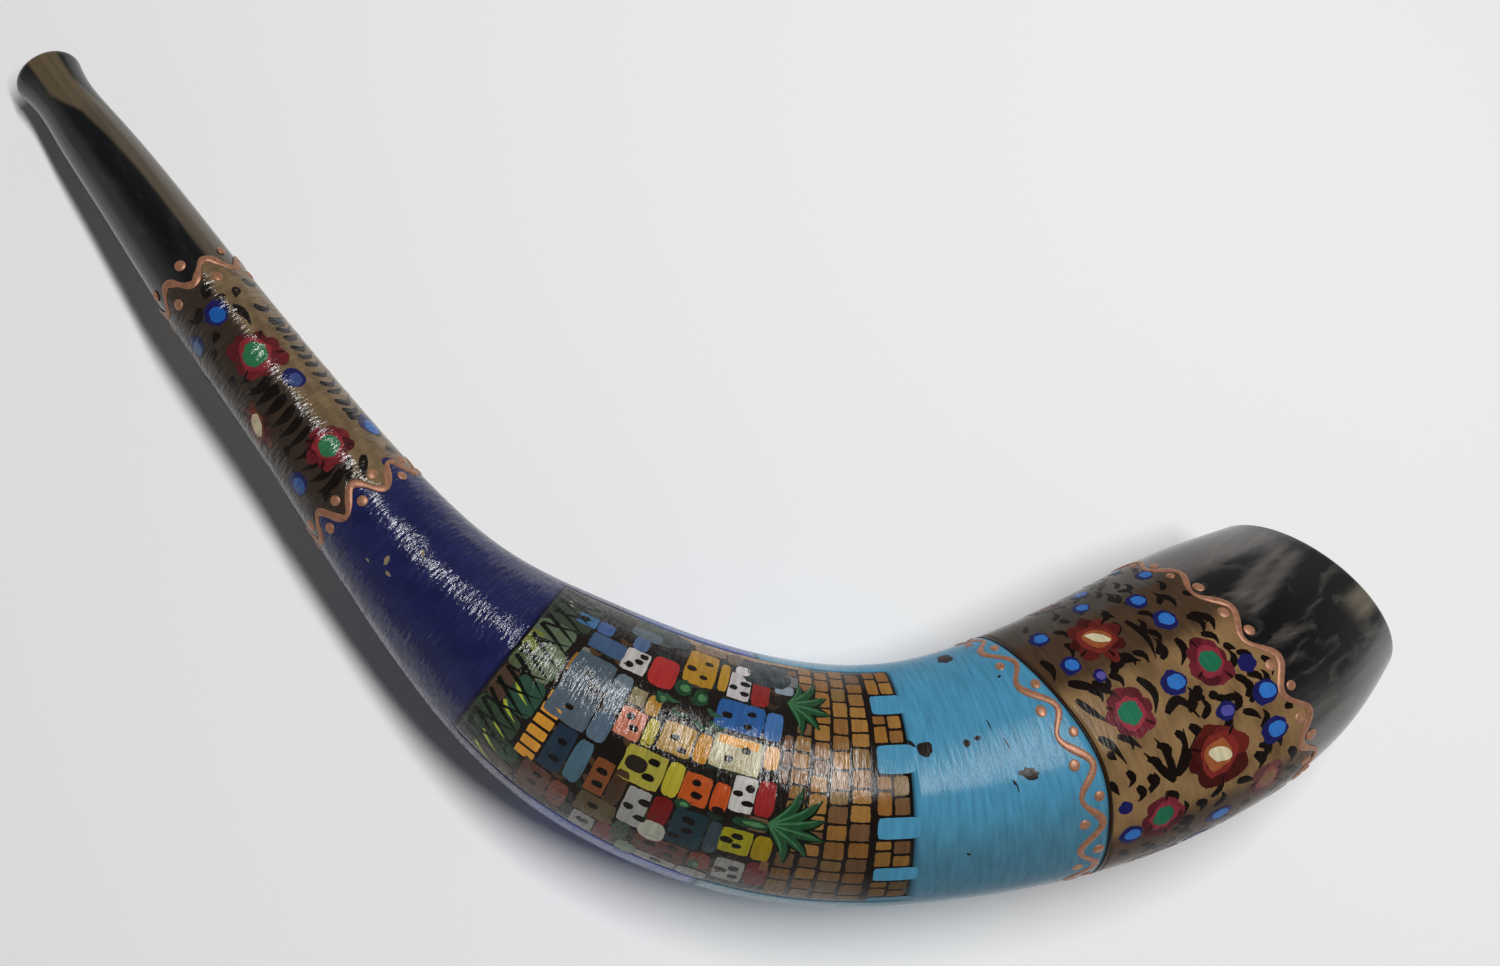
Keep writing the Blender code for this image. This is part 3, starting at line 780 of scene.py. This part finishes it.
# ---- The town's houses ----
# Small bright houses packed in rows across the panel: each is a block of colour with a roof or dome
# beyond it, and the black ground left between them draws their outlines.
HOUSES = (
    (239.5, 247.5, -50, -28, "#BE8C28", 248.8, 250.9, -46, -30, "#C89632"),
    (251.8, 257, -43, -27.5, "#D7D0D0", 258, 262.3, -41.5, -27.5, "#982A28"),
    (250.5, 262, -25, -11.5, "#3264A5", 262.8, 266.7, -23.5, -12, "#4A7AB8"),
    (252, 263, -8, 6.5, "#C8BE96", 264, 267, -7, 1, "#DC9632"),
    (240, 247.2, -5, 8, "#BE964B", 248.2, 251.2, -4, 7, "#D79632"),
    (229.5, 235.3, -3, 10, "#D78264", 236.2, 238.6, -2, 9, "#C3B446"),
    (229.5, 233, -13, -6, "#968764", 234, 237, -12.5, -5, "#BE8C32"),
    (223.5, 229.8, -33, -20.5, "#D2CDC8", 231, 237.8, -35, -20, "#BE3232"),
    (207.5, 212.5, -41.5, -34, "#4678A5", 213.3, 217.5, -41, -34.5, "#46649B"),
    (213.5, 223, -32, -23, "#465F82", 224, 228, -42, -35, "#556E96"),
    (213, 223.5, -18, 3, "#55646F", 224.3, 228.6, -16, 2, "#6E7D87"),
    (213, 223.5, 4, 18.5, "#5E6C78", 224.3, 228.6, 5, 18, "#64788C"),
    (218.2, 223, 20.5, 45, "#324B5F", 224, 227.6, 22, 43, "#648CA0"),
    (234.5, 243.5, 12, 28, "#BEB446", 244.3, 247.6, 12.5, 26.5, "#CDBE3C"),
    (238.4, 243, 30.5, 50, "#DCD8D2", 244, 247.7, 30, 43, "#962323"),
    (248.4, 254, 13.5, 27, "#D25F28", 255, 258.2, 14.5, 26, "#D75A28"),
    (258.9, 263.4, 8.5, 23.5, "#DCD8D2", 264.2, 267.8, 8.5, 22.5, "#A52D2D"),
    (249, 255.5, 31, 50, "#2D4B55", 256.4, 258.8, 33, 48, "#4B5F69"),
    (259.3, 265.2, 33, 45, "#C8BE28", 266, 269.4, 34, 45, "#C3A514"),
    (260.1, 265.3, 50.5, 65, "#DCD8D2", 266, 270, 49, 64, "#963237"),
    (243.5, 253.8, 52, 64, "#874B3C", 254.8, 258.6, 52, 62, "#A5503C"),
    (245, 252.6, 66, 71.5, "#DCD8D2", 253.4, 259, 66, 71.5, "#D2CDC8"),
    (229.5, 233.4, 25, 43, "#A55F37", 234.2, 237.2, 26, 42, "#5F4632"),
    (216, 222.5, 48, 65, "#966450", 223.4, 227, 49, 64, "#B96450"),
    (230.2, 234.6, 59, 71, "#DCD8D2", 235.4, 239.2, 58, 71, "#A03C3C"),
    (229.5, 237.5, 45, 57, "#8C7850", 238.6, 241.5, 52, 63, "#5F7355"),
    (206, 214.5, 62, 70, "#7D6446", 216, 227.5, 66.5, 71, "#64503C"),
    (231.5, 238.3, -58, -48, "#2D3A40", 222, 230.5, -50.5, -44, "#556973"),
    (240.5, 249, -58, -52, "#8C6E50", 250, 254, -58, -50, "#6E5A46"),
    (266.3, 270, -50, -43, "#7D7D7D", 264, 268.8, -41, -37.5, "#96A5AF"),
)  # front: along from and to, around from and to, colour; roof: the same
DOMES = (
    (229, -53, 14, 5.5, "#2D3A30"), (261, -48.5, 15, 5.8, "#2D373C"), (254.5, -46, 4, 2, "#C8C3C3"),
    (245.8, 48.5, 5.5, 3.4, "#A5A596"), (242.5, 68.5, 4.5, 3, "#5F6E55"), (240.5, 20, 1, 4.6, "#2A241C"),
)  # along, around, long, wide (mm), colour
WINDOWS = (
    (241, -36.5), (245.2, -43), (244.7, -33), (252.8, -33.5), (255.8, -37), (256, -31), (253, -17.5),
    (259, -21), (258.5, -14.4), (256, 2), (259.5, -3.5), (243, 1), (245.5, 5.5), (233.5, 5), (231.7, 0.5),
    (227.5, -27), (225.5, -23.5), (228.3, -31), (218, -9), (218, 11), (220.5, -3), (220.8, 28), (221, 38),
    (240.9, 15.5), (240.9, 23), (242.3, 35.5), (239.5, 40.5), (242.6, 44.5), (251.7, 22.5), (251, 17),
    (262.3, 12.5), (260, 15.8), (262.5, 19.5), (252, 35.5), (252.4, 41), (250.3, 46), (262.3, 36),
    (262.7, 41), (260.5, 39), (263.7, 55.5), (261.3, 58), (264, 61.5), (246.5, 57), (250.8, 54.5),
    (250.8, 60.5), (249, 68.5), (231.5, 30.5), (231.8, 37.5), (219.8, 53), (219.4, 60), (232.5, 64),
    (233, 50.5), (209, -38), (257, 26),
)
houses = bmesh.new()
# Fronts and roofs are dulled, and darker towards the outer side of the bend as painted shade.
for from_a, to_a, from_r, to_r, front, roof_a, roof_b, roof_r, roof_s, roof in HOUSES:
    lay_block(houses, from_a, to_a, from_r, to_r, dull_and_shade(front, to_r))
    lay_block(houses, roof_a + 0.1, roof_b, roof_r - 0.6, roof_s + 0.6, dull_and_shade(roof, roof_s), square=4.5)
for along, around, long, wide, colour in DOMES:
    lay_patch(houses, along, around, long, wide * 1.6, colour, layer=1, square=3.0, points=20)
lay_block(houses, 253, 262, -7.5, -4.8, "#D79632", layer=2)
lay_block(houses, 235.2, 239.6, 16.5, 22.5, "#2A241C", layer=2, square=3.0)
for from_a, from_r, to_r in ((241, -60.5, -56.5), (252, -61, -57.5), (262, -62, -58.5), (272, -62.5, -59.5)):
    lay_block(houses, from_a - 9, from_a + 0.6, from_r, to_r, "#967855", layer=0, square=5.0)
# Dark dabs of brown and green fill the ground between the houses.
for _ in range(130):
    along, around = dice.uniform(214, 266), dice.uniform(-56, 66)
    colour = dice.choice(("#3B2C1E", "#26301F", "#4A3624", "#1F2B26"))
    lay_stroke(houses, ((along, around), (along + 2, around + 2), (along + 3.5, around)), 1.6, colour, 0)
finish_picture(houses, "town_houses")
windows = bmesh.new()
for along, around in WINDOWS:
    lay_patch(windows, along, around, dice.uniform(2.0, 2.8), dice.uniform(1.2, 1.7), "#17120F", layer=3,
              square=3.0, points=10, wobble=0.12)
finish_picture(windows, "town_windows")

# ---- The town's palms ----
# Two palms by the wall and a few bushes between the houses: fans of quick strokes, dark green first and
# then a lighter edge to each leaf.
PALMS = (
    (268.5, -31, ((275.5, -47), (278.5, -38), (279.5, -28), (276.5, -20), (272, -16), (270.5, -45))),
    (268.5, 27, ((278.5, 12), (274, 7), (279.8, 21), (280, 31), (277, 40), (272.5, 45))),
)  # foot of the fan, tips of its leaves: along and around
BUSHES = (
    (240.8, -23.5, 4.5, 3.2), (245.5, -21.5, 4, 3.2), (249.5, 28.5, 3.5, 1.6), (236.5, -14, 3, 2),
    (264.5, 28, 9, 1.8), (256, 60, 2, 2.6),
)
palms = bmesh.new()
for foot_along, foot_around, tips in PALMS:
    for tip_along, tip_around in tips:
        bow = (foot_along + tip_along) / 2 + 1.4, (foot_around + tip_around) / 2
        leaf = ((foot_along, foot_around), bow, (tip_along, tip_around))
        lay_stroke(palms, leaf, 3.8, "#0E170D", 3, 0.3)
        lay_stroke(palms, [(a - 0.2, r) for a, r in leaf], 2.2, "#20482B", 4, 0.2)
        lay_stroke(palms, [(a - 0.9, r - 0.8) for a, r in leaf], 0.6, "#3D6C46", 5, 0.2)
for along, around, long, wide in BUSHES:
    lay_patch(palms, along, around, long, wide * 1.3, "#23402B", layer=2, wobble=0.12)
    lay_patch(palms, along + 0.4, around, long * 0.55, wide * 0.6, "#4C7A4E", layer=3, wobble=0.12)
for along, around in ((237, -17), (240, -11.5), (248, -17.5), (249.5, -12), (246, -9.5), (235, -16.5)):
    path = ((along, around), (along + 2, around + 2), (along + 4.5, around + 1))
    lay_stroke(palms, path, 1.2, "#2C5236", 3)
finish_picture(palms, "town_palms")

# ---- The town wall ----
# Courses of brown bricks across the bell side of the panel, topped by five merlons with the sky between
# them.
COURSES = ((270.6, 274.5), (275.4, 279.3), (280.1, 284.3), (285.1, 289.5))
BRICK_COLOURS = ("#A57337", "#966838", "#7D5A3C", "#8F6F42", "#AC7C40", "#9A7040", "#9C6A34", "#A27238")
MERLONS = ((-63, -41.5), (-30.5, -14.5), (-1.5, 18.5), (28.5, 44.5), (52.5, 67.5))
NOTCHES = ((-41, -31), (-14, -2), (19, 28), (45, 52), (68, 71.5))
MERLON_ROWS = ((291.2, 294.4), (295.2, 298.6))
GATE_BRICKS = (
    (267.9, 269.9, -15, -9), (268.2, 269.9, -7.5, -1), (268.2, 269.9, 1, 6.5), (263.8, 267.6, 24.5, 31),
    (257.6, 261.6, -9.5, -9), (268.4, 269.9, 46, 52), (267.4, 269.9, -56, -51.5),
)
wall = bmesh.new()
dice = random.Random(8)
for bricks in GATE_BRICKS:
    lay_block(wall, *bricks, "#6E4E36", spread=0.06)
# Bricks are dulled, and darker towards the outer side of the bend as painted shade.
for number, (course_from, course_to) in enumerate(COURSES):
    around = -62.0 + 3.5 * (number % 2)
    while around < 67:
        long = dice.uniform(6.5, 10.5)
        if around + long > 67:
            long = 71 - around
        brick = dull_and_shade(dice.choice(BRICK_COLOURS), around + long / 2)
        lay_block(wall, course_from + dice.uniform(0, 0.3), course_to - dice.uniform(0, 0.3), around,
                  around + long - 1.5, brick, spread=0.1, wobble=0.05)
        around += long
# The merlons' bricks darken the same way, as painted shade.
for low, high in MERLONS:
    for number, (row_from, row_to) in enumerate(MERLON_ROWS):
        split = low + (high - low) * (0.52 if number else 0.38)
        for from_r, to_r in ((low + 1.4, split - 0.8), (split + 0.8, high - 1.4)):
            brick = dull_and_shade(dice.choice(BRICK_COLOURS), to_r)
            lay_block(wall, row_from, row_to, from_r, to_r, brick, spread=0.06, wobble=0.05)
finish_picture(wall, "town_wall_bricks")
sky = bmesh.new()
for low, high in NOTCHES:
    # The notch on the outer side takes the blue with painted shade.
    blue = OUTER_SHADE_BLUE if low > 60 else LIGHT_BLUE
    lay_block(sky, 291.6, 300.6, low, high, blue, layer=0, square=9.0, wobble=0.01)
finish_picture(sky, "town_sky_notches")

# ---- Flowers and leaves of the two floral bands ----
# Folk flowers painted wet in wet: a ring of overlapping petals round a bright heart, round blue buds, and
# black comma-shaped leaves that fill the tan ground between them, the whole way round the horn.


def lay_flower(bm, along, around, long, wide, petals, heart, core=None, count=8):
    """A flower as long and wide as given (mm), from its petals' colour, its heart's and its core's."""
    spread = degrees_per_mm(along)
    for number in range(count):
        angle = math.tau * (number + dice.uniform(-0.25, 0.25)) / count
        reach = dice.uniform(0.24, 0.36)
        shade = dim(petals, dice.uniform(0.6, 1.05))
        petal_along = along + reach * long * math.cos(angle)
        petal_around = around + reach * wide * math.sin(angle) * spread
        petal_long = long * dice.uniform(0.4, 0.52)
        petal_wide = wide * dice.uniform(0.34, 0.44)
        lay_patch(bm, petal_along, petal_around, petal_long, petal_wide, shade, layer=1 + number % 2,
                  turn=math.degrees(angle), square=1.7, wobble=0.1)
    lay_patch(bm, along, around, long * 0.66, wide * 0.62, dim(petals, 1.2), layer=3, turn=30, wobble=0.14)
    lay_patch(bm, along, around, long * 0.5, wide * 0.42, heart, layer=4, turn=30, wobble=0.12)
    if core:
        lay_patch(bm, along + 0.03 * long, around, long * 0.46, wide * 0.2, core, layer=5, turn=40,
                  square=1.6, wobble=0.08)
    for number in range(3):
        angle = math.tau * (number + dice.uniform(0.1, 0.9)) / 3
        path = [(along + reach * long * math.cos(angle), around + reach * wide * math.sin(angle) * spread)
                for reach in (0.5, 0.3)]
        lay_stroke(bm, path, 0.8, dim(petals, 0.4), 5)


def lay_bud(bm, along, around, size, core="#326EB9", ring="#1E1E55"):
    """A round bud: a navy ring with a bright drop inside it."""
    lay_patch(bm, along, around, size * 1.35, size * 1.3, ring, layer=3, wobble=0.11)
    if core:
        lay_patch(bm, along + 0.12 * size, around, size * 0.9, size * 0.8, core, layer=4, turn=20,
                  wobble=0.09)


BLACK = "#17110E"
CRIMSON = "#6E2328"
GREEN = "#2E7048"
TIP_FLOWERS = (
    (103.5, 3, 13, 13, CRIMSON, GREEN, GREEN), (132.5, 0, 11, 12, CRIMSON, GREEN),
    (117, 52, 12, 7, "#5A281E", "#C8B996"),
)  # along, around, long, wide (mm), petals, heart and, in some, core
TIP_BUDS = (
    (89.5, 10, 4.6, "#1E5AA5"), (92, 58, 4.0, "#3C5F8C"), (113.5, -15, 4.0, "#3A4A7E"),
    (135, 51, 4.4, "#325A96"), (132.5, -58, 5.4, "#2460A8"),
)  # along, around, size (mm), core
tip_flowers = bmesh.new()
for flower in TIP_FLOWERS:
    lay_flower(tip_flowers, *flower)
for bud in TIP_BUDS:
    lay_bud(tip_flowers, *bud)
lay_patch(tip_flowers, 143.6, -38, 3.0, 3.2, "#1E1E50", layer=2)
for along, around in ((88, 130), (95, -128), (108, 160), (121, -100), (128, 112), (138, 178)):
    lay_bud(tip_flowers, along, around, 4.4)
for along, around in ((100, 110), (104, -165), (119, 138), (126, -150), (134, -112)):
    lay_flower(tip_flowers, along, around, 11, 10, CRIMSON, GREEN)
finish_picture(tip_flowers, "tip_flowers")

tip_leaves = bmesh.new()
lay_patch(tip_leaves, 83.5, 4, 4.2, 2.4, BLACK, layer=1, turn=25)
TIP_LEAVES = (
    ((86, -30), (88.5, -20)), ((110, 12), (111, 24), (109, 33)), ((113.5, 6), (114.5, 18)),
    ((137, -8), (140, 0), (143.5, 6)), ((139, -22), (141.5, -14), (144, -8)),
    ((86, 22), (88, 34), (86.5, 44)), ((93.5, 22), (95, 34)), ((96, 38), (98, 50)),
    ((84, -46), (86, -56), (85, -66)), ((92, -34), (94, -44), (93, -56)),
    ((97, -38), (99, -50), (98, -62)), ((127, -46), (129, -38)), ((126, 36), (128.5, 42)),
    ((140.5, 26), (143, 36)), ((104, 40), (106, 52)), ((90, -10), (93, -16), (96.5, -14)),
    ((86, -8), (88, -2)), ((124.5, 60), (127, 72)), ((141, 52), (143, 62)), ((139.5, -52), (142, -60)),
    ((110, 64), (112, 74)), ((100, 62), (102, 74)),
)
for path in TIP_LEAVES:
    lay_stroke(tip_leaves, path, 2.4, BLACK)
dice = random.Random(21)
for along in np.arange(97, 131, 2.9):
    bow = dice.uniform(0.6, 1.8)
    path = ((along, -38), (along + bow, -52), (along - 0.4, -66))
    lay_stroke(tip_leaves, path, dice.uniform(1.5, 2.3), BLACK)
for along in np.arange(106, 142, 3.3):
    bow = dice.uniform(0.8, 2.0)
    path = ((along, 4), (along + bow, 20), (along + 0.8, 38))
    lay_stroke(tip_leaves, path, dice.uniform(2.0, 2.9), BLACK)
for _ in range(70):
    along, around = dice.uniform(83, 141), dice.uniform(82, 276)
    swing = dice.choice((-1, 1))
    path = ((along, around), (along + 1.6, around + 8 * swing), (along + 1.0, around + 17 * swing))
    lay_stroke(tip_leaves, path, 1.9, BLACK)
finish_picture(tip_leaves, "tip_leaves")

ROSE = "#6E2630"
LEAF_GREEN = "#23694B"
AMBER = "#965532"
CREAM = "#CDC3A0"
BELL_FLOWERS = (
    (359.5, -40, 15, 13, "#5F231E", AMBER, CREAM), (357, -4, 11, 13, "#782832", "#1E6E50"),
    (380.5, -9, 10, 13, ROSE, LEAF_GREEN), (372.3, 27, 13, 18, "#64231E", AMBER, CREAM),
    (357.8, 45, 9.5, 13, ROSE, LEAF_GREEN), (382, 53, 8, 11, "#6E3C3C", "#7D5A41"),
)  # along, around, long, wide (mm), petals, heart and, in some, core
bell_flowers = bmesh.new()
for flower in BELL_FLOWERS:
    lay_flower(bell_flowers, *flower)
BELL_BUDS = (
    (346, -53, 4.2), (349, -32.5, 4.0), (377, -49, 4.4), (378.5, -33.5, 4.6), (370, -8, 4.6),
    (388, 13, 4.8), (386, 30, 5.0), (350, 50, 4.2), (370.5, 61, 4.4), (363, -62, 4.0), (388, -62, 4.0),
    (354.5, -23, 2.6, "#5A5096"), (377.5, 11.5, 3.4, "#504B96"), (388, -1, 3.4, None),
    (349.5, 34, 2.6, None),
)  # along, around, size (mm) and, in some, core
for bud in BELL_BUDS:
    lay_bud(bell_flowers, *bud)
dice = random.Random(33)
for along, around in ((358, 86), (378, 100), (356, 122), (376, 140), (359, 160), (380, 178), (357, -158),
                      (377, -140), (358, -122), (378, -104), (357, -88)):
    heart = dice.choice((LEAF_GREEN, AMBER))
    lay_flower(bell_flowers, along, around, dice.uniform(10, 13), dice.uniform(11, 14), ROSE, heart,
               core=CREAM if heart == AMBER else None)
for along, around in ((367, 78), (388, 84), (368, 111), (349, 104), (387, 122), (366, 146), (349, 140),
                      (389, 158), (369, 176), (348, 178), (367, -150), (388, -158), (347, -138), (388, -122),
                      (367, -106), (346, -104), (368, -76), (387, -84)):
    lay_bud(bell_flowers, along, around, dice.uniform(3.8, 4.8))
finish_picture(bell_flowers, "bell_flowers")

BELL_LEAVES = (
    ((347.5, 1), (350, 6), (352, 15)), ((352, 3), (354.5, 6), (356.5, 11)),
    ((361.5, 30), (359, 21), (356.5, 13)), ((361.5, 29), (361.5, 18), (360, 9)),
    ((362, 28), (365.5, 19), (367, 10)), ((362.5, 28), (366, 22), (369, 15)),
    ((365, 2), (369, -1), (371.5, 9)), ((368.5, 10), (370, 15), (368.5, 20)),
    ((356, 23), (357, 27), (355.5, 31)), ((351.5, 18), (352.5, 22), (351, 25)),
    ((353, 26), (354, 30), (352.5, 33)), ((383.5, 1), (385, 5), (384, 10)),
    ((365, 10), (366, 13), (365.5, 16)), ((381, 15), (383, 18), (384, 22)),
    ((392, 0), (393, 5), (391.5, 9)), ((380, 35), (381.5, 40), (380, 44)),
    ((365.5, 45), (367, 48), (366, 52)), ((388, 43), (389, 48), (387.5, 52)),
    ((375, 44), (377, 46), (379, 49)), ((369.5, -42), (371, -31), (369.5, -20)),
    ((372, -33), (374, -29), (373, -25)), ((377, -24), (377, -18), (374, -13)),
    ((384, -30), (386, -25), (384, -20)), ((386.5, -28), (388.5, -24), (387, -19)),
    ((346, -25), (350, -21), (355, -14)), ((346, -17), (348.5, -10), (352, -2)),
    ((360, -27), (363, -25), (366, -22)), ((362.5, -16), (364.5, -8), (362.5, 0)),
    ((366, -52), (368, -46)), ((351, -44), (352, -40), (350.5, -35)),
    ((383, -46), (385, -41), (384, -36)), ((389.5, -41), (391, -36)),
    ((342.5, -40), (344, -34), (343, -28)), ((372, -58), (373.5, -53)), ((355, -60), (357, -55)),
    ((348.5, 8), (350, 12)), ((391, 22), (392, 26)), ((376, 2), (378, 6)), ((362, 60), (364, 65)),
    ((376.5, 62), (378.5, 66)), ((348, 60), (350, 66)), ((389, 60), (391, 66)), ((384, 66), (386, 71)),
    ((353.5, 60), (355.5, 65)), ((347, 20), (348.5, 27)), ((386, -12), (388, -8)),
    ((374.5, -3), (373, 3)), ((360, 56), (361.5, 59)), ((344.5, -62), (346.5, -68)),
)
bell_leaves = bmesh.new()
dice = random.Random(4)
for path in BELL_LEAVES:
    lay_stroke(bell_leaves, path, dice.uniform(1.9, 2.6), BLACK)
for number in range(250):
    along = dice.uniform(350, 388)
    around = dice.uniform(70, 290) if number < 170 else dice.uniform(-70, 70)
    around = around - 360 if around > 180 else around
    swing = dice.choice((-1, 1))
    path = ((along, around), (along + 2.2, around + 3 * swing), (along + 2.0, around + 7 * swing))
    lay_stroke(bell_leaves, path, 2.0, BLACK)
finish_picture(bell_leaves, "bell_leaves")

# ---- Dark edge and chips ----
# A near-black line along the slanting edge of the bell band, painted shade beside the third copper bead,
# and chips where the blue paint has come away and the dark horn shows.
EDGE_LINE_WIDTH = 1.0
EDGE_LINE_LAP = 0.3
EDGE_LINE_RISE = 0.06
edge_shade_line = bmesh.new()
lay_coat(edge_shade_line, lambda around: bell_edge(around) - EDGE_LINE_LAP,
         lambda around: bell_edge(around) + EDGE_LINE_WIDTH - EDGE_LINE_LAP, -180, 180, "#2A1D14",
         top=GROUND_TOP + EDGE_LINE_RISE)
finish_coat(edge_shade_line, "bell_edge_line")
CHIPS = (
    (304, -11.5, 4.2, 3.6, 10), (300.5, -15, 2.4, 1.0, 40), (315, -11.5, 2.0, 1.8, 30),
    (318, -13, 1.8, 1.3, 0), (319, -66, 4.6, 5.6, 35), (328.5, 7, 4.8, 2.9, 15),
    (324.5, 9.5, 1.4, 0.7, 60), (322, -18, 2.6, 0.35, 80), (325, -8, 3.0, 0.35, 75),
    (325, 12, 2.4, 0.35, 85), (163, 22, 2.2, 1.2, 60), (165.5, 28, 1.6, 0.8, 0), (167, -4, 1.8, 0.9, 30),
    (160, 35, 1.2, 0.6, 0), (330, -40, 1.0, 0.8, 0), (312, 40, 1.1, 0.6, 20), (170, 140, 3.0, 1.8, 30),
    (225, 150, 3.4, 2.2, 0), (285, 120, 4.0, 2.4, 60), (310, -150, 3.2, 2.0, 20),
)  # along, around, long, wide (mm), turn (degrees)
chips = bmesh.new()
for along, around, long, wide, turn in CHIPS:
    lay_patch(chips, along, around, long, wide, "#8A7C60" if along < 200 else "#241E1C", layer=0, turn=turn,
              square=1.7, points=14, wobble=0.22)
finish_picture(chips, "paint_chips")
